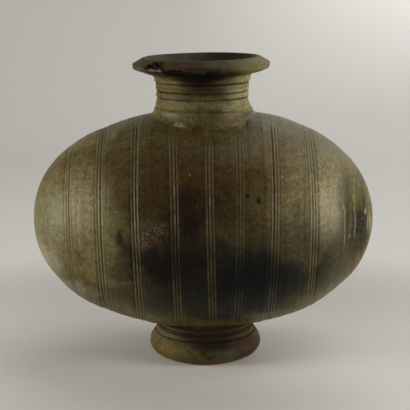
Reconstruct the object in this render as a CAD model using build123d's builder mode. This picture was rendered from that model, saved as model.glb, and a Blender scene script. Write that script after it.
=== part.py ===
"""Cocoon jar: a fired clay jar whose body lies on its side like a silkworm's cocoon.

The body is thrown on the wheel about its long axis in two domes, its right end is closed with a
plug, and a neck with a bevelled rim and a flared ring foot are luted on. Millimetres. The origin
is on the floor under the body's middle, +X is along the cocoon and +Z is up.
"""

import math
import os

from build123d import *

# Body: an outline turned about the cocoon's long axis
body_length = 380.0
body_radius = 125.4
axis_height = 157.0
wall = 7.5
# How full each end is: the powers on the length and on the radius of the outline's formula
left_fullness = (1.9, 2.28)
right_fullness = (2.1, 2.02)
# Where the outline's straight lengths meet near the tips; along the body they meet at the bands
end_corners = (-187.6, -180.0, -166.0, 134.0, 150.0, 174.0, 184.0)
hollow_lengths = 10
seam_x = 6.6

# Comb-incised bands: four grooves each, with three cords standing between them
band_centres = (-142.0, -109.0, -71.5, -29.8, seam_x, 36.5, 73.5, 113.0)
grooves_in_band = 4
groove_pitch = 3.4
groove_depth = 0.9
cord_drop = 0.2
groove_overrun = 2.0
wiped_radius_at_neck = 80.0
wiped_radius_at_foot = 57.0

# Plug that closes the right end like a stopper
plug_joint_x = 163.0
plug_bevel = 40.0

# Strap of clay over the seam inside
strap_width = 42.0
strap_thickness = 4.0

# Neck, rim and hole
neck_hole_radius = 43.0
neck_bore_radius = 42.0
neck_base_height = 262.0
neck_top_height = 318.0
neck_waist_radius = 50.8
neck_waist_height = 295.0
neck_flare_below = 0.0150
neck_flare_above = 0.0097
neck_groove_heights = (293.0, 300.2, 309.7)
neck_groove_depth = 0.9
neck_groove_width = 1.8
neck_step_height = 280.7
neck_step = 1.2
neck_facet = 7.5

# Fillet of clay round the neck's base
neck_lute_radius = 68.0
neck_lute_low = 261.0
neck_lute_sags = ((57.8, 273.3), (62.3, 266.7))

# Mouth rim: a bevelled top, an upright band and an undercut
rim_height = 337.0
rim_lip_radius = 63.5
rim_lip_bevel = 1.2
rim_corner = (75.7, 330.4)
rim_band_foot = (75.3, 324.6)
rim_undercut = (70.0, 321.4)
rim_throat = (47.0, 325.5)
# Chips in the rim: degrees left of the front, chord, depth, height
rim_chips = ((42.0, 28.0, 4.5, 329.5), (18.0, 26.0, 2.2, 324.5))

# Ring foot
foot_contact_radius = 53.4
foot_inner_radius = 46.0
foot_skirt = ((60.4, 4.2), (63.6, 9.5), (63.8, 14.5), (61.6, 20.0))
foot_step_low = (57.0, 26.0)
foot_step_high = (53.4, 33.0)
foot_step_in = 1.3
foot_top_radius = 47.6
foot_top_height = 48.0
foot_hollow_radius = 41.0
foot_hollow_height = 30.0

# Stepped fillet of clay over the foot
foot_lute_low = (52.1, 33.65)
foot_lute_sag = (51.2, 38.5)
foot_lute_high = (57.0, 47.0)

cocoon_axis = Axis((0, 0, axis_height), (1, 0, 0))
cocoon_plane = Plane(origin=(0, 0, axis_height), x_dir=(1, 0, 0), z_dir=(0, -1, 0))


def outline_radius(x, inset=0.0):
    """Radius of the cocoon at x, or of a like surface inset below it."""
    along, across = left_fullness if x < 0 else right_fullness
    reach = min(abs(x) / (body_length / 2 - inset), 1.0)
    return (body_radius - inset) * (1 - reach**along) ** (1 / across)


def band_edges(centre):
    """Both edges of a band on the outline, so that its grooves keep their pitch on the slope."""
    half = groove_pitch * grooves_in_band / 2
    slope = (outline_radius(centre + half) - outline_radius(centre - half)) / (2 * half)
    reach = half / math.hypot(1, slope)
    return [(x, outline_radius(x)) for x in (centre - reach, centre + reach)]


def cocoon_core():
    """The filled cocoon: straight lengths turned about the long axis, one to each band."""
    corners = [(x, outline_radius(x)) for x in (*end_corners, plug_joint_x)]
    for centre in band_centres:
        corners += band_edges(centre)
    tips = [(-body_length / 2, 0), (body_length / 2, 0)]
    with BuildPart() as cocoon:
        with BuildSketch(cocoon_plane):
            with BuildLine():
                Polyline(*sorted(corners + tips), close=True)
            make_face()
        revolve(axis=cocoon_axis)
    return cocoon.part


def cocoon_hollow(inset):
    """The space inside a wall as thick as inset: the potter's inside, in long plain lengths."""
    reach = body_length / 2 - inset
    places = [-reach * math.cos(math.pi * i / hollow_lengths) for i in range(1, hollow_lengths)]
    with BuildPart() as cocoon:
        with BuildSketch(cocoon_plane):
            with BuildLine():
                corners = [(x, outline_radius(x, inset)) for x in places]
                Polyline((-reach, 0), *corners, (reach, 0), close=True)
            make_face()
        revolve(axis=cocoon_axis)
    return cocoon.part


def comb_section(centre):
    """Section of one comb stroke: a zigzag sunk square to the straight length it is cut in."""
    (first_x, first_radius), (last_x, last_radius) = band_edges(centre)
    flanks = 2 * grooves_in_band
    along = Vector(last_x - first_x, last_radius - first_radius)
    outward = Vector(-along.Y, along.X).normalized()
    points = [Vector(first_x, first_radius) + along * (i / flanks) for i in range(flanks + 1)]
    for i in range(1, flanks):
        points[i] -= outward * (groove_depth if i % 2 else cord_drop)
    return [points[0] + outward * groove_overrun, *points, points[-1] + outward * groove_overrun]


def neck_radius(z):
    """Outer radius of the neck at a height: a waist that flares both ways."""
    flare = neck_flare_below if z < neck_waist_height else neck_flare_above
    return neck_waist_radius + flare * (z - neck_waist_height) ** 2


def neck_outline():
    """Points up the neck's outside from above its step to its top, with the grooves cut in."""
    half = neck_groove_width / 2
    points = []
    low = neck_step_height + 2 * neck_step
    for groove in (*neck_groove_heights, None):
        high = neck_top_height if groove is None else groove - half
        count = max(1, round((high - low) / neck_facet))
        heights = [low + (high - low) * i / count for i in range(1, count + 1)]
        points += [(neck_radius(z), z) for z in heights]
        if groove is not None:
            low = groove + half
            points.append((neck_radius(groove) - neck_groove_depth, groove))
            points.append((neck_radius(low), low))
    return points


neck_step_radius = neck_radius(neck_step_height) + neck_step / 2
neck_top_radius = neck_radius(neck_top_height)
body_core = cocoon_core()
body_hollow = cocoon_hollow(wall)

# Comb strokes round the body, wiped away round the neck and the foot
with BuildPart() as comb_strokes:
    for band_centre in band_centres:
        with BuildSketch(cocoon_plane):
            with BuildLine():
                Polyline(*comb_section(band_centre), close=True)
            make_face()
        revolve(axis=cocoon_axis)
    with BuildSketch(Plane.XY.offset(axis_height)):
        Circle(wiped_radius_at_neck)
    extrude(amount=axis_height, mode=Mode.SUBTRACT)
    with BuildSketch(Plane.XY):
        Circle(wiped_radius_at_foot)
    extrude(amount=axis_height, mode=Mode.SUBTRACT)

# Stopper shape of the right end's plug, wider outside than inside
with BuildPart() as stopper:
    plug_depth = 2 * wall
    plug_reach = body_length / 2 - plug_joint_x + wall
    plug_slope = math.tan(math.radians(plug_bevel))
    plug_radius = outline_radius(plug_joint_x)
    with BuildSketch(cocoon_plane):
        with BuildLine():
            Polyline(
                (plug_joint_x - plug_depth, 0),
                (plug_joint_x - plug_depth, plug_radius - plug_depth * plug_slope),
                (plug_joint_x + plug_reach, plug_radius + plug_reach * plug_slope),
                (plug_joint_x + plug_reach, 0),
                close=True,
            )
        make_face()
    revolve(axis=cocoon_axis)

# Left half of the body: a closed dome
with BuildPart() as left_body_half:
    add(body_core)
    add(body_hollow, mode=Mode.SUBTRACT)
    add(comb_strokes.part, mode=Mode.SUBTRACT)
    with BuildSketch(Plane.XY.offset(axis_height)):
        Circle(neck_hole_radius)
    extrude(amount=axis_height, mode=Mode.SUBTRACT)
    split(bisect_by=Plane.YZ.offset(seam_x), keep=Keep.BOTTOM)

# Right half of the body: a dome open at its far end
with BuildPart() as right_body_half:
    add(body_core)
    add(body_hollow, mode=Mode.SUBTRACT)
    add(comb_strokes.part, mode=Mode.SUBTRACT)
    with BuildSketch(Plane.XY.offset(axis_height)):
        Circle(neck_hole_radius)
    extrude(amount=axis_height, mode=Mode.SUBTRACT)
    add(stopper.part, mode=Mode.SUBTRACT)
    split(bisect_by=Plane.YZ.offset(seam_x), keep=Keep.TOP)

# Plug in the right end
with BuildPart() as right_end_plug:
    add(body_core)
    add(body_hollow, mode=Mode.SUBTRACT)
    add(stopper.part, mode=Mode.INTERSECT)

# Strap over the seam, inside, open under the neck
with BuildPart() as body_seam_lute:
    add(cocoon_hollow(wall))
    with BuildSketch(Plane.YZ.offset(seam_x)):
        with Locations((0, axis_height)):
            Circle(body_radius)
    extrude(amount=strap_width / 2, both=True, mode=Mode.INTERSECT)
    add(cocoon_hollow(wall + strap_thickness), mode=Mode.SUBTRACT)
    with BuildSketch(Plane.XY.offset(axis_height)):
        Circle(neck_hole_radius)
    extrude(amount=axis_height, mode=Mode.SUBTRACT)

# Neck: turned on the wheel with a groove between each two ridges, seated on the body
with BuildPart() as neck:
    with BuildSketch(Plane.XZ):
        with BuildLine():
            Polyline(
                (neck_bore_radius, neck_base_height),
                (neck_step_radius, neck_base_height),
                (neck_step_radius, neck_step_height),
                (neck_step_radius - neck_step, neck_step_height + neck_step),
                *neck_outline(),
                (neck_bore_radius, neck_top_height),
                close=True,
            )
        make_face()
    revolve(axis=Axis.Z)
    neck_turned = neck.part
    add(body_core, mode=Mode.SUBTRACT)

# Fillet of clay round the neck's base
with BuildPart() as neck_lute:
    with BuildSketch(Plane.XZ):
        with BuildLine():
            Polyline(
                (neck_step_radius, neck_step_height),
                *neck_lute_sags,
                (neck_lute_radius, neck_lute_low),
                (neck_bore_radius, neck_lute_low),
                (neck_bore_radius, neck_step_height),
                close=True,
            )
        make_face()
    revolve(axis=Axis.Z)
    add(neck_turned, mode=Mode.SUBTRACT)
    add(body_core, mode=Mode.SUBTRACT)

# Mouth rim, with its chips
with BuildPart() as mouth_rim:
    with BuildSketch(Plane.XZ) as mouth_rim_section:
        with BuildLine():
            Polyline(
                (neck_bore_radius, neck_top_height),
                (neck_top_radius, neck_top_height),
                rim_undercut,
                rim_band_foot,
                rim_corner,
                (rim_lip_radius, rim_height),
                rim_throat,
                close=True,
            )
        make_face()
        chamfer(mouth_rim_section.vertices().sort_by(Axis.Y)[-1], rim_lip_bevel)
    revolve(axis=Axis.Z)
    for turned, chord, depth, height in rim_chips:
        chip_radius = (chord**2 / 4 + depth**2) / (2 * depth)
        reach = rim_band_foot[0] - depth + chip_radius
        angle = math.radians(-90 - turned)
        with Locations((reach * math.cos(angle), reach * math.sin(angle), height)):
            Sphere(chip_radius, mode=Mode.SUBTRACT)

# Ring foot: a rounded skirt below two steps, seated on the body
with BuildPart() as foot_ring:
    with BuildSketch(Plane.XZ):
        with BuildLine():
            Polyline(
                (foot_contact_radius, 0),
                *foot_skirt,
                foot_step_low,
                (foot_step_low[0] - foot_step_in, foot_step_low[1] + foot_step_in / 2),
                (foot_step_high[0] + foot_step_in / 2, foot_step_high[1] - foot_step_in / 2),
                foot_step_high,
                (foot_step_high[0] - foot_step_in, foot_step_high[1] + foot_step_in / 2),
                (foot_top_radius, foot_step_high[1] + foot_step_in / 2),
                (foot_top_radius, foot_top_height),
                (foot_hollow_radius, foot_top_height),
                (foot_hollow_radius, foot_hollow_height),
                (foot_inner_radius, 0),
                close=True,
            )
        make_face()
    revolve(axis=Axis.Z)
    foot_turned = foot_ring.part
    add(body_core, mode=Mode.SUBTRACT)

# Stepped fillet of clay between the foot and the body
with BuildPart() as foot_lute:
    with BuildSketch(Plane.XZ):
        with BuildLine():
            Polyline(
                foot_lute_low,
                foot_lute_sag,
                foot_lute_high,
                (foot_hollow_radius, foot_lute_high[1]),
                (foot_hollow_radius, foot_lute_low[1]),
                close=True,
            )
        make_face()
    revolve(axis=Axis.Z)
    add(foot_turned, mode=Mode.SUBTRACT)
    add(body_core, mode=Mode.SUBTRACT)

pieces = {
    "left_body_half": left_body_half,
    "right_body_half": right_body_half,
    "right_end_plug": right_end_plug,
    "body_seam_lute": body_seam_lute,
    "neck": neck,
    "neck_lute": neck_lute,
    "mouth_rim": mouth_rim,
    "foot_ring": foot_ring,
    "foot_lute": foot_lute,
}
os.makedirs("parts", exist_ok=True)
for name, piece in pieces.items():
    piece.part.label = name
    export_step(piece.part, f"parts/{name}.step")
    print(name, "solids", len(piece.solids()), "volume", round(piece.part.volume))
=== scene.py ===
"""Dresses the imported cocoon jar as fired, burnished earthenware on a pale studio floor.

Every clay piece is a surface worked out on a grid of two parameters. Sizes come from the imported
frame, in millimetres while a surface is worked out and in metres once it is a mesh. The body's
long axis runs along X. Turn is the angle round that axis from the top towards the front (-Y).
"""

import math

import bpy
import numpy as np
from mathutils import Matrix, Vector


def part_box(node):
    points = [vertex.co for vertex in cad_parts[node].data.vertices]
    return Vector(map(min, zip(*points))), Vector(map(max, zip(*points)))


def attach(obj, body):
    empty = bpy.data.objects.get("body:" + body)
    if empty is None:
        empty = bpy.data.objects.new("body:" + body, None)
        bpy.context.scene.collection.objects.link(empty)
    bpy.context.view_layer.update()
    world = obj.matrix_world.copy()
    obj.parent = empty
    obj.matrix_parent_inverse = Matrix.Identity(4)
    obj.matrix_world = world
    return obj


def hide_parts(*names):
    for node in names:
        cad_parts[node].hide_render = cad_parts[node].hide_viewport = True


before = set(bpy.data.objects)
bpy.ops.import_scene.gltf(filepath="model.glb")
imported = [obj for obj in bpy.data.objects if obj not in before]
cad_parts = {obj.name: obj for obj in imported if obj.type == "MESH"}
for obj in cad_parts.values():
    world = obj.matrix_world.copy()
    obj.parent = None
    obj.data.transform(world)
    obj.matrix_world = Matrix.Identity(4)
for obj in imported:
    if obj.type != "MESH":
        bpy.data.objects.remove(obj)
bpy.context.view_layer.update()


scene = bpy.context.scene
scene.view_settings.view_transform = "Standard"


def node_box(*names):
    """Lowest and highest corners round the named nodes, in millimetres."""
    boxes = [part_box(name) for name in names]
    low = [1000 * min(box[0][axis] for box in boxes) for axis in range(3)]
    high = [1000 * max(box[1][axis] for box in boxes) for axis in range(3)]
    return low, high


# Sizes read from the frame
body_low, body_high = node_box("left_body_half", "right_body_half", "right_end_plug")
neck_low, neck_high = node_box("neck")
rim_low, rim_high = node_box("mouth_rim")
foot_low, foot_high = node_box("foot_ring")
neck_lute_low, neck_lute_high = node_box("neck_lute")
strap_low, strap_high = node_box("body_seam_lute")
BODY_REACH = (body_high[0] - body_low[0]) / 2
BODY_RADIUS = (body_high[1] - body_low[1]) / 2
AXIS_HEIGHT = body_low[2] + BODY_RADIUS
SEAM_X = node_box("left_body_half")[1][0]
PLUG_X = node_box("right_body_half")[1][0]
NECK_TOP = neck_high[2]
RIM_TOP = rim_high[2]
RIM_RADIUS = rim_high[0]
FOOT_RADIUS = foot_high[0]
STEP_RADIUS = 54.5
STEP_HEIGHT = neck_lute_high[2]

# How the pieces were made and how they are worn
WALL = 7.5
LEFT_FULLNESS = (1.9, 2.28)
RIGHT_FULLNESS = (2.1, 2.02)
PLUG_BEVEL = 40.0
HOLE_RADIUS = 43.0
BORE_RADIUS = 42.0
PITCH = 3.4
# Comb strokes: middle at the front, lean of the top to the left in degrees, depth
STROKES = (
    (-168.0, 1.5, 0.18),
    (-142.5, 1.9, 0.75),
    (-108.6, 1.2, 0.90),
    (-70.6, 1.2, 0.95),
    (-29.6, 1.6, 0.95),
    (6.6, 1.3, 0.95),
    (36.2, -0.3, 0.55),
    (72.4, -0.2, 0.85),
    (113.2, 0.3, 0.80),
    (155.5, 0.6, 0.22),
)


def smooth(low, high, value):
    """Smoothstep: 0 below low, 1 above high, and an S curve between them."""
    t = np.clip((value - low) / (high - low), 0, 1)
    return t * t * (3 - 2 * t)


def ripple(seed, *angles):
    """Sum of five sines of whole multiples of the angles: a wander from -1 to 1 that closes."""
    dice = np.random.default_rng(seed)
    total = 0
    for order in range(1, 6):
        turns = dice.integers(0, order + 2, len(angles)) + (order == 1)
        phase = dice.uniform(0, 2 * math.pi)
        total = total + np.sin(sum(k * a for k, a in zip(turns, angles)) + phase) / order
    return total / 1.9


def outline(x, inset=0.0):
    """Cocoon's radius: (R - inset) (1 - |x / reach|^p)^(1 / q), with p and q for each end."""
    share = np.clip(np.abs(x) / (BODY_REACH - inset), 0, 1)
    left = (1 - share ** LEFT_FULLNESS[0]) ** (1 / LEFT_FULLNESS[1])
    right = (1 - share ** RIGHT_FULLNESS[0]) ** (1 / RIGHT_FULLNESS[1])
    return (BODY_RADIUS - inset) * np.where(x < 0, left, right)


def stroke_depth(x, turn):
    """Depth of the comb's grooves, and how far the three cords between them stand out.

    A stroke is four raised cosines side by side, the outer two shallower. It fades out where the
    potter wiped the clay round the neck and the foot.
    """
    radius = outline(x)
    y = -radius * np.sin(turn)
    rise = radius * np.cos(turn)
    from_neck = np.hypot(x, y) + 3.5 * ripple(31, turn * 3, x / 14)
    kept = np.where(rise > 0, smooth(77, 89, from_neck), smooth(59, 68, from_neck))
    depth = np.zeros(np.broadcast(x, turn).shape)
    cords = np.zeros_like(depth)
    for number, (middle, lean, deepest) in enumerate(STROKES):
        slope = (outline(middle + 8) - outline(middle - 8)) / 16
        stretch = math.hypot(1, slope)
        wander = 0.5 * ripple(40 + number, turn)
        across = (x - middle + math.tan(math.radians(lean)) * rise + wander) * stretch / PITCH
        away = np.abs(across)
        wave = 0.5 - 0.5 * np.cos(2 * math.pi * across)
        pressed = (0.82 + 0.30 * ripple(60 + number, turn, across)) * (1 - 0.5 * smooth(1.0, 1.3, away))
        depth += smooth(2.02, 1.95, away) * kept * deepest * pressed * wave**0.62 * stretch
        cords += smooth(1.45, 1.3, away) * kept * (deepest / 0.95) * (1 - wave) ** 1.5
    return depth, cords


def pressed_by_hands(x, y):
    """How far the body went down round the neck when the potter luted it on."""
    return 1.9 * smooth(96, 62, np.hypot(x, y))


def body_surface(x, turn):
    """Radius of the finished outside: outline, swells left by the hand, a dent and comb grooves."""
    away_from_tips = smooth(0, 40, BODY_REACH - np.abs(x))
    swell = 0.45 * ripple(3, turn, x / 46) + 0.22 * ripple(5, turn * 2, x / 23)
    rings = 0.10 * np.sin(x / 1.9) + 0.07 * np.sin(x / 0.83 + 1)
    upper = smooth(0.2, 0.7, np.cos(turn))
    lower = smooth(-0.3, -0.7, np.cos(turn))
    shoulder = upper * (pressed_by_hands(x, outline(x) * np.sin(turn)) + 2.0 * np.exp(-(((x + 104) / 28) ** 2)))
    belly = (1.0 + 0.5 * np.cos(turn)) * np.exp(-(((x - 140) / 28) ** 2))
    belly = belly + lower * (1.9 * np.exp(-(((x - 114) / 18) ** 2)) + 2.0 * np.exp(-(((x + 137) / 21) ** 2)))
    sag = (1.4 * smooth(-0.2, 0.5, np.cos(turn)) + 2.2 * smooth(0.3, -0.5, np.cos(turn))) * np.exp(-(((x - 173) / 16) ** 2))
    sag = sag * smooth(0, 8, BODY_REACH - np.abs(x))
    dent = -1.1 * np.exp(-(((x - 150) / 11) ** 2) - ((turn - 2.25) / 0.22) ** 2)
    depth, _ = stroke_depth(x, turn)
    return outline(x) + away_from_tips * (swell - 0.5 + rings - shoulder + belly) + sag + dent - depth


def body_height(x, y):
    """Height of the finished body's upper skin above the floor at a place in plan."""
    radius = outline(x)
    for _ in range(3):
        radius = body_surface(x, np.arcsin(np.clip(-y / radius, -1, 1)))
    return AXIS_HEIGHT + np.sqrt(np.maximum(radius**2 - y**2, 0))


def on_axis(x, radius, turn):
    """Points at a distance from the long axis, turned towards the front."""
    x, radius, turn = np.broadcast_arrays(x, radius, turn)
    y = -radius * np.sin(turn)
    return np.stack([x, y, AXIS_HEIGHT + radius * np.cos(turn)], axis=-1)


def make_piece(name, rings, ring_ends="joined"):
    """Closed mesh from rings of points: each ring is joined to the next by four-sided faces.

    The last ring joins the first, or with ring_ends "poles" a fan closes each end.
    """
    count, around = rings.shape[:2]
    points = rings.reshape(-1, 3)
    corner = np.arange(count * around).reshape(count, around)
    if ring_ends == "joined":
        corner = np.vstack([corner, corner[:1]])
    here, there = corner[:-1], corner[1:]
    quads = np.stack([here, np.roll(here, -1, 1), np.roll(there, -1, 1), there], axis=-1)
    faces = [quads.reshape(-1, 4)]
    triangles = np.zeros((0, 3), int)
    if ring_ends == "poles":
        poles = np.array([rings[0].mean(0), rings[-1].mean(0)])
        first, last = len(points), len(points) + 1
        points = np.vstack([points, poles])
        start, end = corner[0], corner[-1]
        head = np.stack([np.roll(start, -1), start, np.full(around, first)], axis=-1)
        tail = np.stack([end, np.roll(end, -1), np.full(around, last)], axis=-1)
        triangles = np.vstack([head, tail])
    quads = faces[0]
    split = np.vstack([quads[:, [0, 1, 2]], quads[:, [0, 2, 3]], triangles])
    a, b, c = points[split[:, 0]], points[split[:, 1]], points[split[:, 2]]
    if np.einsum("ij,ij->i", a, np.cross(b, c)).sum() < 0:
        quads, triangles = quads[:, ::-1], triangles[:, ::-1]
    mesh = bpy.data.meshes.new(name)
    mesh.from_pydata((points / 1000).tolist(), [], quads.tolist() + triangles.tolist())
    mesh.shade_smooth()
    piece = bpy.data.objects.new(name, mesh)
    scene.collection.objects.link(piece)
    return piece


def spaced(places, spacing):
    """Places picked along a fine line so that neighbours are about the wanted spacing apart."""
    steps = np.concatenate([[0], np.cumsum(np.abs(np.diff(places)) / spacing[1:])])
    count = max(2, int(round(steps[-1])) + 1)
    return np.interp(np.linspace(0, steps[-1], count), steps, places)


def body_columns(start, end, fine=0.66, coarse=2.6):
    """Places along X, close together where the comb has cut and at the rounded tips."""
    angles = np.linspace(math.asin(start / BODY_REACH), math.asin(end / BODY_REACH), 6000)
    x = BODY_REACH * np.sin(angles)
    radius = outline(x)
    length = np.concatenate([[0], np.cumsum(np.hypot(np.diff(x), np.diff(radius)))])
    near = np.min([np.abs(x - middle) for middle, _, deep in STROKES if deep > 0.3], axis=0)
    spacing = np.where(near < 11.5, fine, coarse)
    return np.interp(spaced(length, spacing), length, x)


def rounded_loop(corners, spacing):
    """Closed section from corners (u, v, rounding): each corner is a parabola between two sides.

    Along it the points are about the spacing apart.
    """
    corners = np.array(corners, float)
    places, rounding = corners[:, :2], corners[:, 2:]
    to_last = np.roll(places, 1, 0) - places
    to_next = np.roll(places, -1, 0) - places
    to_last /= np.linalg.norm(to_last, axis=1, keepdims=True)
    to_next /= np.linalg.norm(to_next, axis=1, keepdims=True)
    enter, leave = places + to_last * rounding, places + to_next * rounding
    t = np.linspace(0, 1, 7)[None, :, None]
    bend = (1 - t) ** 2 * enter[:, None] + 2 * t * (1 - t) * places[:, None]
    bend = (bend + t**2 * leave[:, None]).reshape(-1, 2)
    closed = np.vstack([bend, bend[:1]])
    length = np.concatenate([[0], np.cumsum(np.linalg.norm(np.diff(closed, axis=0), axis=1))])
    even = np.arange(0, length[-1], spacing)
    stations = np.unique(np.round(np.concatenate([even, length[:-1]]), 3))
    keep = np.concatenate([[True], np.diff(stations) > 0.12])
    stations = stations[keep]
    return np.stack([np.interp(stations, length, closed[:, i]) for i in (0, 1)], axis=-1)


def lean(points):
    """The neck and rim lean: they slide left by 1.3 and then 2.8 mm, and drop on the left."""
    height = points[..., 2]
    moved = points.copy()
    tip = math.tan(math.radians(1.05)) * smooth(284, 320, height)
    moved[..., 2] += tip * points[..., 0]
    moved[..., 0] -= 1.3 * smooth(274, 294, height) + 1.5 * smooth(314, 322, height)
    return moved


def turned(radius, height, heading):
    """Points about the upright axis: radius and height at each heading."""
    radius, height, heading = np.broadcast_arrays(radius, height, heading)
    return np.stack([radius * np.cos(heading), radius * np.sin(heading), height], axis=-1)


def headings(count):
    return np.linspace(-math.pi, math.pi, count, endpoint=False)[None, :]


# Body halves: a grid of columns along X and turns about it, outside and then back inside
AROUND = 340
turns = np.linspace(0, 2 * math.pi, AROUND, endpoint=False)[None, :]


def inner_wall(x):
    """The potter's inside: a smooth offset of the outline with shallow finger rings."""
    return (outline(x, WALL) + 0.35 * np.sin(x / 3.1))[:, None] + 0.3 * ripple(9, turns, x[:, None] / 40)


left_outer = body_columns(-BODY_REACH * 0.99995, SEAM_X)
left_inner = (BODY_REACH - WALL) * np.sin(np.linspace(math.asin(SEAM_X / (BODY_REACH - WALL)), -1.56, 46))
left_rings = np.concatenate(
    [
        on_axis(left_outer[:, None], body_surface(left_outer[:, None], turns), turns),
        on_axis(left_inner[:, None], inner_wall(left_inner), turns),
    ]
)
left_body_half = make_piece("left_body_half_clay", left_rings, "poles")

right_outer = body_columns(SEAM_X, PLUG_X)
bevel_run = WALL / (math.tan(math.radians(PLUG_BEVEL)) + 0.75) * 1.6
bevel_slope = math.tan(math.radians(PLUG_BEVEL))
plug_joint_radius = float(outline(np.array(PLUG_X)))


def bevel_meets_inside():
    """Where the cone of the plug's joint meets the inner wall, by stepping along X."""
    x = np.linspace(PLUG_X - 12, PLUG_X, 1201)
    gap = np.abs(plug_joint_radius + (x - PLUG_X) * bevel_slope - outline(x, WALL))
    return float(x[np.argmin(gap)])


INNER_JOINT_X = bevel_meets_inside()
right_inner = np.linspace(INNER_JOINT_X, SEAM_X, 40)
right_rings = np.concatenate(
    [
        on_axis(right_outer[:, None], body_surface(right_outer[:, None], turns), turns),
        on_axis(right_inner[:, None], inner_wall(right_inner), turns),
    ]
)
right_body_half = make_piece("right_body_half_clay", right_rings)


def rough(x, turn):
    """Coarse torn clay: lumps that grow towards the tip."""
    lumps = ripple(71, turn * 5, x / 2.2) + 0.8 * ripple(72, turn * 9, x / 1.3)
    return lumps + 0.6 * ripple(73, turn * 15, x / 0.8)


def plug_surface(x, turn):
    """Outside of the plug: the body's surface, a low ring at its edge and coarse torn clay."""
    edge = x - PLUG_X
    ring = 0.55 * np.exp(-(((edge - 1.6) / 1.1) ** 2))
    torn = 0.30 * smooth(3, 10, edge) * rough(x, turn)
    closing = smooth(0, 2.5, BODY_REACH - x)
    return body_surface(x, turn) + closing * (ring + torn)


plug_outer = body_columns(PLUG_X, BODY_REACH * 0.99995, coarse=0.7)
plug_inner = (BODY_REACH - WALL) * np.sin(np.linspace(math.asin(INNER_JOINT_X / (BODY_REACH - WALL)), 1.56, 16))
plug_rings = np.concatenate(
    [
        on_axis(plug_outer[:, None], plug_surface(plug_outer[:, None], turns), turns)[::-1],
        on_axis(plug_inner[:, None], inner_wall(plug_inner), turns),
    ]
)
right_end_plug = make_piece("right_end_plug_clay", plug_rings, "poles")

# Strap over the seam inside: a rounded strip swept round, open under the neck
strap_half = (strap_high[0] - strap_low[0]) / 2
strap_turns = np.linspace(math.radians(24), math.radians(336), 260)
strap_section = rounded_loop(
    ((-strap_half, 0, 0.8), (strap_half, 0, 0.8), (strap_half - 2.5, -4, 2.0), (-strap_half + 2.5, -4, 2.0)), 2.2
)


def strap_ring(turn):
    """The strap's section at each turn, with thumb marks along it and thin rounded ends."""
    ends = smooth(0, 0.07, turn - strap_turns[0]) * smooth(0, 0.07, strap_turns[-1] - turn)
    x = SEAM_X + strap_section[None, :, 0] * (1 + 0.05 * ripple(81, turn)[:, None]) * (0.55 + 0.45 * ends[:, None])
    depth = strap_section[None, :, 1] * (0.15 + 0.85 * ends[:, None]) * (0.9 + 0.12 * np.sin(turn * 24)[:, None])
    return on_axis(x, outline(x, WALL) - 0.25 + depth, turn[:, None])


body_seam_lute = make_piece("body_seam_lute_clay", strap_ring(strap_turns), "poles")

# Neck: thrown collar, ridges between dark grooves, its base cut to the body
NECK_AROUND = 420
neck_headings = headings(NECK_AROUND)
NECK_HEIGHTS = (277.7, 281.0, 284.2, 287.5, 291.0, 297.4, 304.0, 310.6, 315.0, 318.0)
NECK_RADII = (55.0, 54.0, 52.2, 51.2, 50.7, 50.8, 51.0, 52.2, 53.3, 55.6)
NECK_GROOVES = ((293.2, 1.0, 0.9), (300.2, 1.15, 0.85), (309.7, 1.2, 0.9), (305.0, 0.35, 0.8))


def neck_profile(height, heading):
    """Radius up the neck, and the painted shade in its grooves: a waist with full ridges that wander."""
    radius = np.interp(height, NECK_HEIGHTS, NECK_RADII)
    swell = 0.30 * np.sin((height - 293) * 2 * math.pi / 8.3) + 0.16 * ripple(91, heading, height / 3.1)
    radius = radius + swell * smooth(318, 313, height)
    painted_shade = 0.45 * np.exp(-(((height - STEP_HEIGHT - 0.7) / 0.8) ** 2))
    for number, (place, depth, width) in enumerate(NECK_GROOVES):
        wander = 0.55 * ripple(95 + number, heading)
        offset = (height - place + wander) / width
        press = 0.8 + 0.35 * ripple(99 + number, heading)
        radius = radius - depth * press * np.exp(-(offset**2)) + 0.30 * np.exp(-((offset - 1.9) ** 2))
        painted_shade = painted_shade + depth * press * np.exp(-(offset**2))
    return radius, painted_shade


def on_body(radius, heading, sunk=1.5):
    """Height at which a ring of this radius is sunk into the body's skin."""
    return body_height(radius * np.cos(heading), radius * np.sin(heading)) - sunk


neck_rows = np.linspace(STEP_HEIGHT - 1, NECK_TOP, 86)[:, None]
inside_rows = np.linspace(1, 0, 12)[:, None]
neck_foot_z = on_body(STEP_RADIUS, neck_headings)
bore_foot_z = on_body(BORE_RADIUS, neck_headings)
bore_z = bore_foot_z + (NECK_TOP - bore_foot_z) * inside_rows
neck_radius, neck_painted_shade = neck_profile(neck_rows, neck_headings)
neck_rings = np.concatenate(
    [
        turned(STEP_RADIUS - 0.6, neck_foot_z, neck_headings),
        turned(neck_radius, neck_rows, neck_headings),
        turned(BORE_RADIUS + 0.3 * np.sin(bore_z / 2.2), bore_z, neck_headings),
    ]
)
neck = make_piece("neck_clay", lean(neck_rings))

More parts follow.
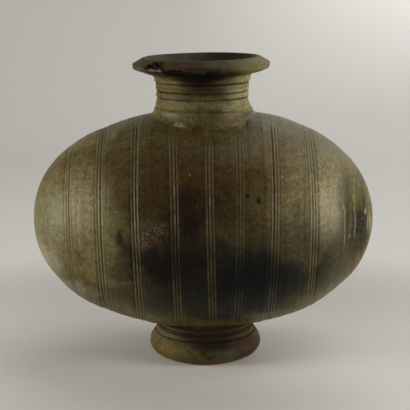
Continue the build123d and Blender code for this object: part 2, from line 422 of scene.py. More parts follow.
# Fillet round the neck's base: a smear of slip from the ridge down on to the body
lute_share = np.linspace(0, 1, 22)[:, None]
lute_reach = 62.5 - 4.0 * np.cos(2 * neck_headings) + 1.0 * ripple(111, neck_headings)
lute_radius = STEP_RADIUS + (lute_reach - STEP_RADIUS) * (0.10 * lute_share + 0.90 * lute_share**1.7)
lute_drop = on_body(lute_radius, neck_headings, -0.15)
lute_rest = STEP_HEIGHT - 0.5 + 0.25 * ripple(113, neck_headings)
lute_height = lute_rest + (on_body(lute_reach, neck_headings, 0.5) - lute_rest) * (
    0.55 * lute_share + 0.45 * (1 - (1 - lute_share) ** 2.2)
)
lute_height = np.maximum(lute_height, lute_drop - 0.7 * smooth(0.8, 1, lute_share))
ridge_radius = STEP_RADIUS + 0.35
neck_lute_rings = np.concatenate(
    [
        turned(ridge_radius - 1.6, lute_rest - 0.5, neck_headings),
        turned(ridge_radius - 0.9, lute_rest + 0.35, neck_headings),
        turned(lute_radius, lute_height, neck_headings),
        turned(lute_reach - 2.5, on_body(lute_reach - 2.5, neck_headings, 2.0), neck_headings),
        turned(STEP_RADIUS - 1.5, on_body(STEP_RADIUS - 1.5, neck_headings, 2.0), neck_headings),
    ]
)
neck_lute = make_piece("neck_lute_clay", lean(neck_lute_rings))

# Mouth rim: bevelled top, upright band and undercut, with two chips out of the band
RIM_AROUND = 760
rim_headings = headings(RIM_AROUND)
rim_section = rounded_loop(
    (
        (BORE_RADIUS, NECK_TOP - 0.2, 0.6),
        (55.3, NECK_TOP - 0.2, 0.3),
        (57.6, NECK_TOP + 0.5, 1.0),
        (RIM_RADIUS - 5.7, RIM_TOP - 14.7, 2.5),
        (RIM_RADIUS - 0.3, RIM_TOP - 12.0, 1.7),
        (RIM_RADIUS + 0.2, RIM_TOP - 6.2, 1.3),
        (64.8, RIM_TOP + 0.1, 1.7),
        (61.4, RIM_TOP + 0.1, 1.5),
        (47.0, RIM_TOP - 11.0, 3.0),
    ),
    0.95,
)
# Chips: degrees left of the front, half chord, half height, depth, middle height
RIM_CHIPS = ((42.0, 13.5, 4.4, 5.4, RIM_TOP - 6.4), (21.5, 14.5, 3.4, 3.4, RIM_TOP - 11.8))


def rim_scoops(height, heading):
    """How deep each chip is: a hollow like the inside of a shell, with a torn edge."""
    scoops = []
    for number, (left, half_chord, half_height, depth, middle) in enumerate(RIM_CHIPS):
        along = (heading + math.radians(90 + left)) * RIM_RADIUS / half_chord
        up = (height - middle) / half_height
        torn = 0.42 * ripple(121 + number, heading * 34, height / 1.3)
        scoops.append(depth * np.maximum(1 - along**2 - up**2 + torn, 0) ** 0.55)
    return scoops


def rim_wear(radius, height, heading):
    """How far the rim is worn back by its chips and by small nicks along its edges."""
    band = smooth(RIM_RADIUS - 12, RIM_RADIUS - 5, radius)
    nicks = 0.5 * np.maximum(ripple(131, heading * 17, height / 3) - 0.45, 0)
    return band * (sum(rim_scoops(height, heading)) + nicks)


rim_r, rim_z = rim_section[:, :1], rim_section[:, 1:]
rim_swell = 0.25 * ripple(133, rim_headings) + 0.10 * ripple(134, rim_headings * 4, rim_z / 2)
rim_swell = rim_swell * smooth(58, 66, rim_r)
rim_radius = rim_r - 0.35 + rim_swell - rim_wear(rim_r, rim_z, rim_headings)
rim_height = rim_z + 0.22 * ripple(135, rim_headings) * smooth(NECK_TOP + 2, NECK_TOP + 8, rim_z)
worn_left = smooth(0.4, 1.0, -np.cos(rim_headings)) * smooth(327, 322, rim_z) * smooth(58, 68, rim_r)
mouth_rim = make_piece("mouth_rim_clay", lean(turned(rim_radius, rim_height + 1.1 * worn_left, rim_headings)))

# Ring foot: flared skirt with a rounded lip, two steps, set a little to the right
FOOT_AROUND = 420
foot_headings = headings(FOOT_AROUND)
FOOT_OFFSET = 1.9
foot_section = rounded_loop(
    (
        (53.4, 0, 1.6),
        (60.4, 3.9, 3.0),
        (FOOT_RADIUS, 10.0, 3.0),
        (FOOT_RADIUS - 0.1, 14.8, 2.5),
        (61.9, 19.8, 3.0),
        (57.5, 25.7, 0.8),
        (55.9, 26.3, 0.5),
        (56.4, 27.8, 0.9),
        (55.0, 31.4, 0.8),
        (53.4, 32.1, 0.5),
        (53.9, 33.1, 0.5),
        (53.3, 33.9, 0.6),
        (48.6, 34.3, 0.4),
        (47.4, 38.0, 0.5),
        (41.5, 38.0, 0.5),
        (41.0, 30.0, 3.0),
        (46.0, 0.0, 1.2),
    ),
    1.0,
)
foot_r, foot_z = foot_section[:, :1], foot_section[:, 1:]
foot_swell = 0.30 * ripple(141, foot_headings) + 0.16 * ripple(142, foot_headings * 3, foot_z / 4)
foot_swell = foot_swell * smooth(50, 56, foot_r) - 0.2 * smooth(58, 62, foot_r)
foot_wobble = 0.30 * ripple(143, foot_headings) * smooth(12, 26, foot_z)
on_top = smooth(34, 38, foot_z)


def under_body(radius, heading, sunk):
    """Height at which a ring of this radius is sunk up into the body's underside."""
    x = radius * np.cos(heading) + FOOT_OFFSET
    y = radius * np.sin(heading)
    return AXIS_HEIGHT - np.sqrt(np.maximum(outline(x) ** 2 - y**2, 0)) + sunk


foot_radius = foot_r + foot_swell
foot_seat = under_body(foot_radius, foot_headings, 1.5)
foot_height = (foot_z + foot_wobble) * (1 - on_top) + foot_seat * on_top
foot_points = turned(foot_radius, foot_height, foot_headings)
foot_points[..., 0] += FOOT_OFFSET
foot_ring = make_piece("foot_ring_clay", foot_points)

# Fillet over the foot: a hollow smear of slip from the upper step up under the body
share = np.linspace(0, 1, 18)[:, None]
fillet_reach = 57.5 + 1.2 * ripple(151, foot_headings) + 0.5 * ripple(152, foot_headings * 3)
fillet_groove = np.exp(-(((share - 0.45) / 0.10) ** 2)) * (0.8 + 0.3 * ripple(153, foot_headings))
fillet_radius = 52.2 - 6.8 * share * (1 - share) + (fillet_reach - 52.2) * share**2.2 - 0.5 * fillet_groove
fillet_low = 34.0 + 0.3 * ripple(143, foot_headings)
fillet_high = under_body(fillet_reach, foot_headings, 0.4)
fillet_height = fillet_low + (fillet_high - fillet_low) * (0.9 * share + 0.1 * share**2)
fillet_height = np.minimum(fillet_height, under_body(fillet_radius, foot_headings, 0.4 - 0.5 * (1 - share)))
foot_lute_points = np.concatenate(
    [
        turned(fillet_radius, fillet_height, foot_headings),
        turned(fillet_reach - 2.5, under_body(fillet_reach - 2.5, foot_headings, 2.0), foot_headings),
        turned(47.9, under_body(np.array([[47.9]]), foot_headings, 2.0), foot_headings),
        turned(47.9, fillet_low + 0.2, foot_headings),
    ]
)
foot_lute_points[..., 0] += FOOT_OFFSET
foot_lute = make_piece("foot_lute_clay", foot_lute_points)


def cut_neck_hole(piece):
    """Takes the round hole under the neck out of a body half, and makes the result its mesh."""
    cutter_turns = np.linspace(0, 2 * math.pi, 128, endpoint=False)[None, :]
    heights = np.array([[AXIS_HEIGHT + 40], [RIM_TOP]])
    cutter = make_piece("hole_cutter", turned(HOLE_RADIUS, heights, cutter_turns), "poles")
    hole = piece.modifiers.new("neck_hole", "BOOLEAN")
    hole.operation = "DIFFERENCE"
    hole.solver = "EXACT"
    hole.object = cutter
    bpy.context.view_layer.update()
    whole = piece.data
    shaped = piece.evaluated_get(bpy.context.evaluated_depsgraph_get())
    piece.data = bpy.data.meshes.new_from_object(shaped)
    piece.modifiers.clear()
    bpy.data.meshes.remove(whole)
    cutter_mesh = cutter.data
    bpy.data.objects.remove(cutter)
    bpy.data.meshes.remove(cutter_mesh)


for half in (left_body_half, right_body_half):
    cut_neck_hole(half)


def mesh_points(piece):
    """The piece's vertices in millimetres."""
    points = np.empty(len(piece.data.vertices) * 3)
    piece.data.vertices.foreach_get("co", points)
    return points.reshape(-1, 3) * 1000


def mark(piece, name, values):
    """Keeps one number for each vertex, for the material to read."""
    layer = piece.data.attributes.new(name, "FLOAT", "POINT")
    layer.data.foreach_set("value", np.ascontiguousarray(values, dtype=np.float32))


def mark_body(piece):
    """Marks how deep the comb has cut, where its cords stand, and what is inside the wall."""
    points = mesh_points(piece)
    x = points[:, 0]
    radius = np.hypot(points[:, 1], points[:, 2] - AXIS_HEIGHT)
    turn = np.arctan2(-points[:, 1], points[:, 2] - AXIS_HEIGHT) % (2 * math.pi)
    depth, cords = stroke_depth(x, turn)
    inside = smooth(2.4, 3.4, outline(x) - radius) * (np.abs(x) < BODY_REACH - 4)
    mark(piece, "groove", np.clip(depth, 0, 1) * (1 - inside))
    mark(piece, "cord", cords * (1 - inside))
    mark(piece, "inside", inside)


for piece in (left_body_half, right_body_half, right_end_plug):
    mark_body(piece)

# Marks on the rim: hollow of a chip, the ledge at the foot of the first, and the mouth's inside
first_chip, second_chip = rim_scoops(rim_z, rim_headings)
ledge = smooth(0, 1.0, first_chip) * smooth(RIM_TOP - 8.3, RIM_TOP - 9.3, rim_z)
mark(mouth_rim, "chip", (smooth(0.05, 0.9, first_chip + 1.6 * second_chip) * (1 - ledge)).ravel())
mark(mouth_rim, "ledge", ledge.ravel())
sooted = smooth(62.0, 60.0, rim_r) * (0.25 + 0.75 * smooth(-0.15, 0.35, np.cos(rim_headings)))
mark(mouth_rim, "inside", sooted.ravel())

# Painted shade in the grooves of the neck, in the steps of the foot and in the groove of the foot's fillet
rows_below, rows_inside = np.zeros((1, NECK_AROUND)), np.zeros((len(inside_rows), NECK_AROUND))
mark(neck, "groove", np.concatenate([rows_below, np.clip(neck_painted_shade, 0, 1), rows_inside]).ravel())
step_painted_shade = sum(np.exp(-(((foot_z - place) / 0.8) ** 2)) for place in (26.4, 32.2, 34.2))
step_painted_shade = step_painted_shade * smooth(49, 52, foot_r) * (0.8 + 0.3 * ripple(161, foot_headings, foot_z))
mark(foot_ring, "groove", np.clip(step_painted_shade, 0, 1).ravel())
hidden_rows = np.zeros((3, FOOT_AROUND))
mark(foot_lute, "groove", np.clip(np.concatenate([fillet_groove, hidden_rows]), 0, 1).ravel())


def linear(colour):
    """An sRGB hex colour as the linear colour that a socket takes."""
    parts = [int(colour[i : i + 2], 16) / 255 for i in (1, 3, 5)]
    return [*(p / 12.92 if p <= 0.04045 else ((p + 0.055) / 1.055) ** 2.4 for p in parts), 1.0]


def add_node(tree, kind, inputs=None, **settings):
    """Adds a node with its settings; an input is given a value or is linked to a socket."""
    node = tree.nodes.new(kind)
    for name, value in settings.items():
        setattr(node, name, value)
    for key, value in (inputs or {}).items():
        if isinstance(value, bpy.types.NodeSocket):
            tree.links.new(value, node.inputs[key])
        else:
            node.inputs[key].default_value = value
    return node


def blend_colours(tree, share, first, second):
    """Socket of a colour that goes from the first to the second, each a hex colour or a socket."""
    ends = [linear(end) if isinstance(end, str) else end for end in (first, second)]
    mix = add_node(tree, "ShaderNodeMix", {0: share, 6: ends[0], 7: ends[1]}, data_type="RGBA")
    return mix.outputs[2]


def grain(tree, place, size, stretch=(1, 1, 1), detail=3.0, low=0.35, high=0.65):
    """Socket from 0 to 1: noise whose lumps are about size millimetres across."""
    scaled = add_node(tree, "ShaderNodeMapping", {"Vector": place, "Scale": [1000 / size / s for s in stretch]})
    noise = add_node(tree, "ShaderNodeTexNoise", {"Vector": scaled.outputs[0], "Scale": 1.0, "Detail": detail})
    ranged = {"Value": noise.outputs[0], "From Min": low, "From Max": high}
    return add_node(tree, "ShaderNodeMapRange", ranged).outputs[0]


def vary(tree, colour, share, least, most):
    """The colour made darker and lighter by a share from 0 to 1."""
    gain = add_node(tree, "ShaderNodeMapRange", {"Value": share, "To Min": least, "To Max": most})
    scaled = {0: colour, "Scale": gain.outputs[0]}
    return add_node(tree, "ShaderNodeVectorMath", scaled, operation="SCALE").outputs[0]


def stained(tree, colour, share, gains):
    """The colour with its red, green and blue raised or lowered by gains where share is 1."""
    stain = add_node(tree, "ShaderNodeVectorMath", {0: colour, 1: gains}, operation="MULTIPLY")
    return blend_colours(tree, share, colour, stain.outputs[0])


def arithmetic(tree, operation, first, second=0.0, clamp=False):
    node = add_node(tree, "ShaderNodeMath", {0: first, 1: second}, operation=operation, use_clamp=clamp)
    return node.outputs[0]


def torn_place(tree, amount=12.0):
    """Object coordinates, and the same pushed about by noise so that a patch has a smoky edge."""
    place = add_node(tree, "ShaderNodeTexCoord").outputs["Object"]
    pushed = place
    for size, push in ((34, amount), (9, amount / 3), (3, amount / 8)):
        noise = add_node(tree, "ShaderNodeTexNoise", {"Vector": place, "Scale": 1000 / size, "Detail": 2.0})
        centred = add_node(tree, "ShaderNodeVectorMath", {0: noise.outputs[1], 1: (0.5, 0.5, 0.5)}, operation="SUBTRACT")
        scaled = {0: centred.outputs[0], 1: [4 * push / 1000] * 3, 2: pushed}
        pushed = add_node(tree, "ShaderNodeVectorMath", scaled, operation="MULTIPLY_ADD").outputs[0]
    return place, pushed


def patch_share(tree, pushed, middle, reach, soft, strength):
    """Socket that is strength in the middle of a patch and falls to 0 across its edge."""
    from_middle = {0: pushed, 1: [m / 1000 for m in middle]}
    centred = add_node(tree, "ShaderNodeVectorMath", from_middle, operation="SUBTRACT")
    in_reaches = {0: centred.outputs[0], 1: [1000 / r for r in reach]}
    spread = add_node(tree, "ShaderNodeVectorMath", in_reaches, operation="MULTIPLY")
    far = add_node(tree, "ShaderNodeVectorMath", {0: spread.outputs[0]}, operation="LENGTH")
    ranged = {"Value": far.outputs["Value"], "From Min": 1 + soft, "From Max": 1 - soft, "To Max": strength}
    return add_node(tree, "ShaderNodeMapRange", ranged, interpolation_type="SMOOTHSTEP").outputs[0]


def lay_patches(tree, pushed, colour, patches):
    """Lays patches with soft edges over a colour: middle and reach in mm, softness, colour and strength."""
    for middle, reach, soft, patch_colour, strength in patches:
        share = patch_share(tree, pushed, middle, reach, soft, strength)
        colour = blend_colours(tree, share, colour, patch_colour)
    return colour


def new_clay(name):
    """A new material with its node tree, which holds just the shader and the output."""
    clay = bpy.data.materials.new(name)
    clay.use_nodes = True
    tree = clay.node_tree
    return clay, tree, tree.nodes["Principled BSDF"]


def surface_bump(tree, shader, heights):
    """Chains bumps: each is a socket, a strength and a depth in millimetres."""
    normal = None
    for height, strength, depth in heights:
        inputs = {"Height": height, "Strength": strength, "Distance": depth / 1000}
        if normal is not None:
            inputs["Normal"] = normal
        normal = add_node(tree, "ShaderNodeBump", inputs).outputs[0]
    tree.links.new(normal, shader.inputs["Normal"])


# Clouds of smoke and earth on the body, front and then back, from broad to small
BODY_PATCHES = (
    ((0, -90, 226), (124, 80, 46), 0.5, "#3b2c10", 0.9),
    ((-20, -118, 186), (66, 60, 38), 0.5, "#2e2109", 0.85),
    ((20, -100, 90), (104, 70, 27), 0.5, "#14170e", 0.93),
    ((110, -95, 114), (42, 60, 26), 0.6, "#1c1b10", 0.9),
    ((-70, -112, 132), (26, 60, 18), 0.5, "#282110", 0.8),
    ((-30, -122, 130), (46, 60, 30), 0.6, "#090604", 0.97),
    ((-22, -122, 116), (12, 30, 9), 0.6, "#1e0c06", 0.6),
    ((52, -115, 117), (40, 60, 32), 0.75, "#040509", 0.98),
    ((6, -120, 121), (28, 60, 28), 0.8, "#14130b", 0.75),
    ((22, -122, 124), (22, 50, 18), 0.9, "#0a0a0a", 0.6),
    ((-16, -122, 178), (24, 50, 28), 0.6, "#1a0e05", 0.85),
    ((-5, -120, 190), (9, 40, 10), 0.7, "#33190c", 0.45),
    ((18, -108, 222), (46, 50, 11), 0.7, "#452b0c", 0.6),
    ((20, -124, 166), (20, 40, 14), 0.6, "#373219", 0.7),
    ((48, -90, 76), (44, 50, 13), 0.6, "#11140d", 0.85),
    ((111, -94, 112), (20, 50, 14), 0.6, "#15150d", 0.6),
    ((56, -116, 152), (18, 50, 18), 0.8, "#25220f", 0.7),
    ((-170, -44, 122), (16, 40, 20), 0.7, "#827f6a", 0.7),
    ((-146, -62, 92), (22, 40, 10), 0.7, "#757260", 0.5),
    ((20, 100, 214), (90, 70, 50), 0.5, "#352810", 0.85),
    ((-60, 112, 150), (46, 60, 40), 0.5, "#120e08", 0.9),
    ((70, 112, 118), (56, 60, 34), 0.5, "#1e1a0e", 0.85),
    ((10, 100, 92), (120, 70, 24), 0.5, "#202317", 0.85),
    ((8, 118, 176), (18, 50, 22), 0.6, "#35140a", 0.55),
)
# Painted highlights where the side lamps catch the satin skin, painted shade below the right highlight and towards
# the right end, and lighter and darker tone, all with soft even edges
BODY_TONE_AND_PAINTED_LIGHT = (
    # Painted highlight on the left side
    ((-126, -86, 190), (22, 50, 32), 0.9, "#7d7554", 0.7),
    ((-166, -56, 172), (24, 50, 34), 0.9, "#6a6342", 0.7),
    ((-98, -108, 160), (15, 50, 30), 0.8, "#635c3a", 0.6),
    ((96, -92, 214), (22, 50, 32), 0.9, "#6f6643", 0.85),
    ((54, -108, 206), (20, 50, 18), 0.9, "#4b4124", 0.6),
    ((66, -80, 247), (44, 50, 14), 0.9, "#5e5331", 0.7),
    ((-36, -74, 256), (40, 50, 10), 0.9, "#554a2b", 0.55),
    ((97, -106, 155), (24, 50, 23), 0.8, "#322e18", 0.7),
    # Painted shade below the right highlight
    ((131, -88, 158), (14, 50, 19), 0.8, "#221e10", 0.85),
    # Painted highlight on the right side
    ((128, -84, 194), (14, 50, 34), 0.9, "#8a8262", 0.85),
    ((134, -60, 226), (30, 50, 14), 0.9, "#706948", 0.6),
    # Painted shade towards the right end, where the right lamp falls off
    ((153, -72, 170), (10, 50, 44), 0.6, "#3b371f", 0.85),
)
# Small marks: spots of soot, two pits painted as dark spots of shade, lime, and on the right end a scar with a
# pale edge
BODY_MARKS = (
    ((-86, -112, 159), (4, 30, 8), 0.6, "#0e0b06", 0.8),
    ((-81, -113, 147), (6, 30, 9), 0.7, "#17130a", 0.7),
    # The two pits are painted shade: dark spots with no hollow in the surface
    ((43, -114, 202), (2.4, 8, 2.0), 0.4, "#080603", 0.9),
    ((56, -113, 198), (2.0, 8, 3.4), 0.4, "#080603", 0.9),
    ((-16, -105, 224), (0.8, 6, 0.8), 0.4, "#8a7c54", 0.7),
    ((68, -99, 222), (0.8, 6, 0.8), 0.4, "#8a7c54", 0.7),
    ((81, -96, 220), (0.8, 6, 0.9), 0.4, "#988b62", 0.8),
    ((-26, -62, 268), (6, 20, 2.4), 0.6, "#8d8160", 0.6),
    ((38, -56, 269), (7, 20, 2.4), 0.6, "#8d8160", 0.5),
    ((-8, -66, 266), (7, 20, 4), 0.7, "#3a2012", 0.6),
    ((166, -58, 186), (7, 30, 9), 0.7, "#3f3c18", 0.7),
    ((169, -57, 163), (10, 30, 18), 0.65, "#110c07", 0.94),
    ((169, -56, 142), (12, 30, 15), 0.7, "#16170c", 0.88),
    ((153, -72, 148), (11, 30, 26), 0.8, "#2b2715", 0.6),
    ((151, -76, 153), (4, 20, 8), 0.8, "#40281b", 0.4),
    ((174, -50, 147), (6, 20, 8), 0.8, "#2c1a10", 0.5),
    ((175, -47, 174), (2.0, 20, 4.5), 0.6, "#8d8870", 0.6),
    ((181, -38, 158), (3.8, 20, 11), 0.7, "#7b7a54", 0.75),
    ((155, -72, 153), (1.1, 20, 1.9), 0.6, "#938d74", 0.5),
    ((161, -66, 192), (0.9, 30, 14), 0.3, "#8a845c", 0.5),
    ((162, -66, 164), (0.9, 30, 16), 0.3, "#68645a", 0.6),
    ((148, -80, 170), (0.8, 30, 34), 0.3, "#8d8763", 0.4),
)
# Soot that lies over the cords as well
SOOT = (
    ((52, -115, 116), (32, 60, 27), 0.85, "#040407", 0.95),
    ((-34, -122, 132), (30, 60, 24), 0.6, "#090604", 0.75),
    ((-60, 112, 150), (36, 60, 30), 0.6, "#0c0906", 0.7),
)


def earthenware_body():
    """Low-fired earthenware, burnished and smoked.

    The fire left it olive at the ends and brown to black where ash lay against it, and the eye
    sees a satin skin with clouds that have no clear edge.
    """
    clay, tree, shader = new_clay("burnished_smoked_earthenware")
    place, pushed = torn_place(tree)
    broad = grain(tree, pushed, 40, detail=3.0)
    blotch = grain(tree, pushed, 11, detail=4.0, low=0.32, high=0.68)
    speckle = grain(tree, place, 4.5, detail=4.0, low=0.32, high=0.68)
    # Sand in the clay is finer than this; it is drawn at two millimetres so that it shows
    grit = grain(tree, place, 2.2, detail=2.0, low=0.3, high=0.7)
    colour = blend_colours(tree, broad, "#4d4527", "#605838")
    colour = lay_patches(tree, pushed, colour, BODY_PATCHES)
    _, nudged = torn_place(tree, 2.4)
    # Painted highlights and painted shade from the side lamps, with lighter and darker tone
    colour = lay_patches(tree, nudged, colour, BODY_TONE_AND_PAINTED_LIGHT)
    colour = lay_patches(tree, nudged, colour, BODY_MARKS)
    # The tool left rings round the right end; they are drawn at two millimetres
    ring = grain(tree, place, 2.0, (1, 14, 14), detail=3.0, low=0.38, high=0.62)
    scar = patch_share(tree, nudged, (166, -58, 166), (20, 60, 40), 0.5, 1.0)
    ringed = vary(tree, colour, ring, 0.45, 1.45)
    colour = blend_colours(tree, scar, colour, ringed)
    crumb = grain(tree, place, 2.4, detail=4.0, low=0.50, high=0.68)
    crumb_share = arithmetic(tree, "MULTIPLY", crumb, patch_share(tree, nudged, (170, -56, 160), (12, 60, 34), 0.5, 0.28))
    colour = blend_colours(tree, crumb_share, colour, "#6b6850")
    # Iron stained the clay brown in places, and between them it stayed a cool green
    rusty = grain(tree, pushed, 15, detail=4.0, low=0.48, high=0.66)
    mossy = grain(tree, nudged, 21, detail=4.0, low=0.50, high=0.66)
    colour = stained(tree, colour, rusty, (1.07, 0.96, 0.82))
    colour = stained(tree, colour, mossy, (0.93, 1.01, 1.06))
    colour = vary(tree, colour, blotch, 0.80, 1.20)
    colour = vary(tree, colour, speckle, 0.78, 1.22)
    colour = vary(tree, colour, grit, 0.74, 1.28)
    # Lime and bare clay show as pale flecks where the burnish has gone
    fleck = grain(tree, place, 2.4, detail=1.0, low=0.66, high=0.74)
    crust = patch_share(tree, pushed, (-52, -120, 163), (20, 50, 14), 0.45, 1.0)
    crust_fleck = grain(tree, place, 2.0, detail=4.0, low=0.42, high=0.62)
    colour = blend_colours(tree, arithmetic(tree, "MULTIPLY", fleck, 0.22), colour, "#73603f")
    colour = blend_colours(tree, arithmetic(tree, "MULTIPLY", crust, 0.7), colour, "#2c2014")
    crust_share = arithmetic(tree, "MULTIPLY", crust, arithmetic(tree, "MULTIPLY", crust_fleck, 0.5))
    colour = blend_colours(tree, crust_share, colour, "#7b664e")
    groove = add_node(tree, "ShaderNodeAttribute", attribute_name="groove").outputs["Fac"]
    cord = add_node(tree, "ShaderNodeAttribute", attribute_name="cord").outputs["Fac"]
    inside = add_node(tree, "ShaderNodeAttribute", attribute_name="inside").outputs["Fac"]
    # Painted shade in the comb's grooves
    colour = blend_colours(tree, arithmetic(tree, "MULTIPLY", groove, 0.30), colour, "#100c07")
    # The cords are lighter: partly rubbed clay, partly painted highlight where they catch the side lamps
    cord_wear_and_highlight = grain(tree, place, 6, detail=3.0, low=0.3, high=0.7)
    cord_wear_and_highlight = add_node(tree, "ShaderNodeMapRange", {"Value": cord_wear_and_highlight, "To Min": 0.22, "To Max": 0.66}).outputs[0]
    colour = blend_colours(tree, arithmetic(tree, "MULTIPLY", cord, cord_wear_and_highlight), colour, "#756a45")
    colour = lay_patches(tree, pushed, colour, SOOT)
    colour = blend_colours(tree, inside, colour, "#3a3022")
    tree.links.new(colour, shader.inputs["Base Color"])
    # Torn clay in the scar scatters light; the burnished skin round it keeps a satin shine
    satin = add_node(tree, "ShaderNodeMapRange", {"Value": blotch, "To Min": 0.34, "To Max": 0.50})
    torn = add_node(tree, "ShaderNodeMath", {0: scar, 1: 0.4, 2: satin.outputs[0]}, operation="MULTIPLY_ADD")
    tree.links.new(torn.outputs[0], shader.inputs["Roughness"])
    shader.inputs["IOR"].default_value = 1.5
    shader.inputs["Specular IOR Level"].default_value = 0.15
    striae = grain(tree, place, 2.2, (1, 30, 30), detail=3.0)
    surface_bump(tree, shader, ((striae, 0.18, 0.25), (blotch, 0.3, 0.5), (grit, 0.35, 0.25)))
    return clay


def turned_clay(name, base, lighter, darker, patches, roughness):
    """Low-fired earthenware thrown upright: rings run level and the colour clouds over."""
    clay, tree, shader = new_clay(name)
    place, pushed = torn_place(tree, 6.0)
    broad = grain(tree, pushed, 24, detail=3.0)
    blotch = grain(tree, pushed, 7, (1.4, 1.4, 0.8), detail=4.0, low=0.32, high=0.68)
    grit = grain(tree, place, 2.0, detail=2.0, low=0.3, high=0.7)
    colour = blend_colours(tree, broad, base, lighter)
    colour = lay_patches(tree, pushed, colour, patches)
    rusty = grain(tree, pushed, 9, (1.5, 1.5, 1), detail=4.0, low=0.46, high=0.62)
    mossy = grain(tree, pushed, 14, (1.5, 1.5, 1), detail=4.0, low=0.50, high=0.66)
    colour = stained(tree, colour, rusty, (1.14, 0.95, 0.74))
    colour = stained(tree, colour, mossy, (0.88, 1.02, 1.12))
    colour = vary(tree, colour, blotch, 0.72, 1.30)
    colour = vary(tree, colour, grit, 0.74, 1.28)
    chip = add_node(tree, "ShaderNodeAttribute", attribute_name="chip").outputs["Fac"]
    ledge = add_node(tree, "ShaderNodeAttribute", attribute_name="ledge").outputs["Fac"]
    inside = add_node(tree, "ShaderNodeAttribute", attribute_name="inside").outputs["Fac"]
    groove = add_node(tree, "ShaderNodeAttribute", attribute_name="groove").outputs["Fac"]
    colour = blend_colours(tree, arithmetic(tree, "MULTIPLY", inside, 0.85), colour, darker)
    # Painted shade in the grooves of the neck, the steps of the foot and the fillet's groove
    colour = blend_colours(tree, arithmetic(tree, "MULTIPLY", groove, 0.85), colour, darker)
    # The chips are dark: broken clay, and painted shade in their hollows
    colour = blend_colours(tree, arithmetic(tree, "MULTIPLY", chip, 0.92), colour, "#100a07")
    # The ledge is pale: bare clay of the break, and painted light where it faces up
    colour = blend_colours(tree, arithmetic(tree, "MULTIPLY", ledge, 0.8), colour, "#7d775c")
    tree.links.new(colour, shader.inputs["Base Color"])
    ranged = {"Value": blotch, "To Min": roughness - 0.08, "To Max": roughness + 0.12}
    tree.links.new(add_node(tree, "ShaderNodeMapRange", ranged).outputs[0], shader.inputs["Roughness"])
    shader.inputs["Specular IOR Level"].default_value = 0.1
    striae = grain(tree, place, 1.8, (30, 30, 1), detail=3.0)
    surface_bump(tree, shader, ((striae, 0.25, 0.3), (blotch, 0.35, 0.5), (grit, 0.4, 0.25)))
    return clay


body_clay = earthenware_body()
neck_clay = turned_clay(
    "wheel_thrown_earthenware_neck",
    "#4a4425",
    "#5f5735",
    "#120c07",
    (
        # Painted light: the right side of the neck lighter where the right lamp falls
        ((50, -14, 298), (22, 60, 22), 0.9, "#877e58", 0.9),
        ((6, -56, 300), (22, 40, 17), 0.6, "#2b2412", 0.8),
        # Painted highlights at the left and right of the neck's foot
        ((-28, -48, 288), (12, 40, 5), 0.7, "#68633f", 0.7),
        ((34, -44, 288), (14, 40, 5), 0.7, "#6d6644", 0.7),
        ((-10, -60, 308), (11, 40, 7), 0.7, "#301a10", 0.7),
        # Painted shadow under the rim, with soot
        ((-2, -60, 318), (34, 40, 8.5), 0.4, "#0f0806", 0.97),
        ((-42, -36, 309), (18, 40, 11), 0.8, "#5a4823", 0.6),
        ((16, -50, 289), (34, 40, 5), 0.7, "#70704f", 0.5),
    ),
    0.55,
)
rim_clay = turned_clay(
    "wheel_thrown_earthenware_rim",
    "#393318",
    "#494122",
    "#150b07",
    (
        ((-34, -60, 332), (44, 40, 14), 0.6, "#2b2615", 0.8),
        ((-16, -60, 334), (20, 30, 4), 0.7, "#3a2015", 0.6),
        ((60, -20, 330), (30, 60, 14), 0.6, "#635d3a", 0.9),
        # Painted shade under the rim's band and in its undercut
        ((0, -70, 320), (44, 36, 7.5), 0.5, "#0a0705", 0.96),
        ((-52, -54, 326), (14, 30, 4), 0.6, "#2f150d", 0.8),
    ),
    0.58,
)
foot_clay = turned_clay(
    "wheel_thrown_earthenware_foot",
    "#463f20",
    "#544b29",
    "#171109",
    (
        ((14, -56, 28), (38, 40, 13), 0.6, "#140d08", 0.92),
        ((50, -42, 14), (20, 50, 16), 0.6, "#2b1809", 0.9),
        ((10, -60, 4), (38, 40, 6), 0.7, "#553a26", 0.75),
        ((14, -62, 14), (16, 30, 6), 0.6, "#1c160d", 0.6),
        ((4, -52, 37), (64, 34, 9), 0.5, "#2a1f12", 0.85),
        ((24, -58, 12), (18, 30, 6), 0.6, "#3a4130", 0.6),
        ((56, -30, 14), (12, 30, 9), 0.6, "#38260f", 0.6),
    ),
    0.62,
)

dressed = {
    "left_body_half": (left_body_half, body_clay, "body_clay"),
    "right_body_half": (right_body_half, body_clay, "body_clay"),
    "right_end_plug": (right_end_plug, body_clay, "body_clay"),
    "body_seam_lute": (body_seam_lute, neck_clay, "inner_clay"),
    "neck": (neck, neck_clay, "neck_clay"),
    "neck_lute": (neck_lute, body_clay, "neck_clay"),
    "mouth_rim": (mouth_rim, rim_clay, "rim_clay"),
    "foot_ring": (foot_ring, foot_clay, "foot_clay"),
    "foot_lute": (foot_lute, foot_clay, "foot_clay"),
}
for node, (piece, clay, slot) in dressed.items():
    piece.data.materials.clear()
    piece.data.materials.append(clay)
    piece.data.set_sharp_from_angle(angle=math.radians(55))
    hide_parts(node)
    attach(piece, "root")

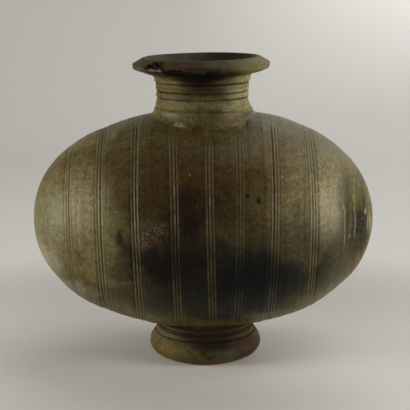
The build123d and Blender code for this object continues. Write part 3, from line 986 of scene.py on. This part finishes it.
# Pale sweep: floor that curves up into the backdrop
sweep_side = np.linspace(-3.2, 3.2, 61)[None, :]
sweep_run = np.linspace(0, 1, 90)[:, None]
FLOOR_FRONT, FLOOR_BACK, SWEEP_BEND, SWEEP_TOP = -3.0, 1.3, 0.9, 3.4
length_floor = FLOOR_BACK - FLOOR_FRONT
length_bend = SWEEP_BEND * math.pi / 2
along = sweep_run * (length_floor + length_bend + SWEEP_TOP)
bend = np.clip((along - length_floor) / SWEEP_BEND, 0, math.pi / 2)
past = np.maximum(along - length_floor - length_bend, 0)
sweep_y = FLOOR_FRONT + np.minimum(along, length_floor) + SWEEP_BEND * np.sin(bend)
sweep_z = SWEEP_BEND * (1 - np.cos(bend)) + past
sweep_points = np.stack(np.broadcast_arrays(sweep_side, sweep_y, sweep_z), axis=-1)
sweep_mesh = bpy.data.meshes.new("studio_sweep")
corner = np.arange(90 * 61).reshape(90, 61)
sweep_faces = np.stack([corner[:-1, :-1], corner[:-1, 1:], corner[1:, 1:], corner[1:, :-1]], axis=-1)
sweep_mesh.from_pydata(sweep_points.reshape(-1, 3).tolist(), [], sweep_faces.reshape(-1, 4).tolist())
sweep_mesh.shade_smooth()
studio_sweep = bpy.data.objects.new("studio_sweep", sweep_mesh)
scene.collection.objects.link(studio_sweep)

paper, tree, shader = new_clay("matt_paper_sweep")
place = add_node(tree, "ShaderNodeTexCoord").outputs["Object"]
axes = add_node(tree, "ShaderNodeSeparateXYZ", {0: place})
sideways = add_node(tree, "ShaderNodeMapRange", {"Value": axes.outputs[0], "From Min": -0.05, "From Max": 0.6})
up_the_back = add_node(tree, "ShaderNodeMapRange", {"Value": axes.outputs[2], "From Min": 0.06, "From Max": 0.34})
lit_corner = arithmetic(tree, "MULTIPLY", sideways.outputs[0], up_the_back.outputs[0])
# Painted shadow and light on the paper: a painted shadow in front of the jar and behind it, painted light under
# the jar that lifts its shadow, and painted shade where a lamp stands close
PAPER_PAINTED_LIGHT_AND_SHADE = (
    # Painted shadow in front of the jar
    ((0, -420, 0), (200, 260, 900), 0.6, "#b3ac9f", 0.9),
    # Painted light under the jar that lifts its shadow
    ((30, -50, 0), (150, 70, 900), 0.6, "#dedbd2", 0.7),
    # Painted shadow behind the jar
    ((0, 240, 0), (340, 140, 900), 0.6, "#a7a49d", 0.75),
    # Painted shade where the lamps stand close to the paper
    ((-1270, -285, 0), (330, 560, 900), 0.6, "#5f5c58", 0.95),
    ((1270, -300, 0), (330, 560, 900), 0.6, "#5f5c58", 0.95),
)
paper_colour = blend_colours(tree, lit_corner, "#c9c7c2", "#f4f2ef")
paper_colour = lay_patches(tree, place, paper_colour, PAPER_PAINTED_LIGHT_AND_SHADE)
tree.links.new(paper_colour, shader.inputs["Base Color"])
shader.inputs["Roughness"].default_value = 0.95
sweep_mesh.materials.append(paper)


def soft_box(name, place, target, size, power, colour):
    """A rectangular lamp that faces the target."""
    lamp = bpy.data.lights.new(name, "AREA")
    lamp.shape = "RECTANGLE"
    lamp.size, lamp.size_y = size
    lamp.energy = power
    lamp.color = linear(colour)[:3]
    holder = bpy.data.objects.new(name, lamp)
    scene.collection.objects.link(holder)
    way = Vector(target) - Vector(place)
    holder.matrix_world = Matrix.Translation(place) @ way.to_track_quat("-Z", "Y").to_matrix().to_4x4()
    return holder


middle = (0, 0, AXIS_HEIGHT / 1000)
soft_box("left_window", (-1.5, -0.28, 0.30), middle, (0.7, 0.8), 25, "#fffaf2")
soft_box("right_window", (1.5, -0.32, 0.34), middle, (0.7, 0.8), 21, "#fffaf2")
soft_box("overhead", (1.0, 0.9, 1.9), (0, 0.1, 0), (2.8, 2.8), 32, "#ffffff")
world = bpy.data.worlds.new("plain_studio")
scene.world = world
world.use_nodes = True
world.node_tree.nodes["Background"].inputs["Color"].default_value = linear("#ffffff")
world.node_tree.nodes["Background"].inputs["Strength"].default_value = 0.25

# Camera: low, in front, 1.24 m from the middle of the body
camera_data = bpy.data.cameras.new("front_camera")
camera_data.lens = 96.585
camera_data.sensor_width = 36
camera = bpy.data.objects.new("front_camera", camera_data)
scene.collection.objects.link(camera)
camera_elevation, camera_side, camera_far = math.radians(12.6), math.radians(0.5), 1.243
camera.location = (
    -camera_far * math.sin(camera_side) * math.cos(camera_elevation),
    -camera_far * math.cos(camera_side) * math.cos(camera_elevation),
    AXIS_HEIGHT / 1000 + camera_far * math.sin(camera_elevation),
)
camera.rotation_euler = (math.radians(90 - 12.01), 0, math.radians(-0.573))
scene.camera = camera
